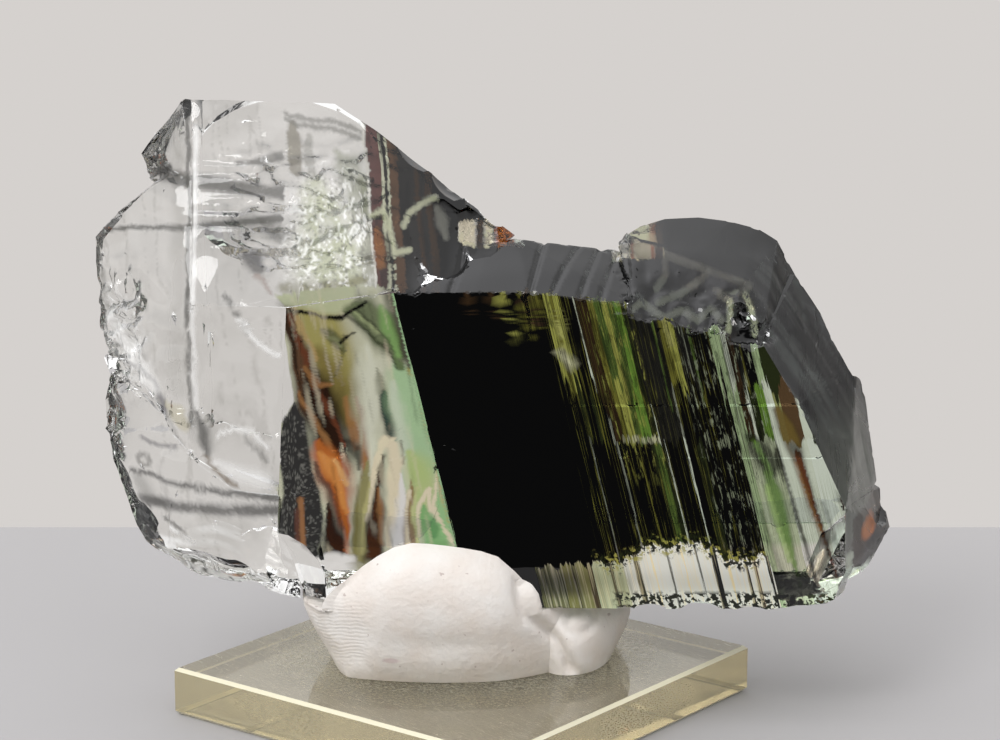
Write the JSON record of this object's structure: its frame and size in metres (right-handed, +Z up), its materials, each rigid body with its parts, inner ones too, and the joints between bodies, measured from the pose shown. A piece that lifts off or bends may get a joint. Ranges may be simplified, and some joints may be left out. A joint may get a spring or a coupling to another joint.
{
  "type": "andara crystal",
  "caption": "Broken lump of clear glass banded with black and green, held by a lump of putty on a square acrylic plate.",
  "frame": {"origin": "centre of the plate's underside", "axes": "+X along the crystal's length towards the dark end, +Z up, so -Y is the crystal's flat front"},
  "size_m": [0.0977, 0.0702, 0.0733],
  "materials": {
    "banded_glass": "polished fracture faces, clear at one end, black and green bands at the other",
    "putty": "matt warm white, hand pressed",
    "acrylic": "clear and slightly yellow, sawn edges polished, fine scratches on top"
  },
  "bodies": {
    "root": {"crystal": "banded_glass", "putty": "putty", "base_plate": "acrylic"}
  },
  "joints": []
}
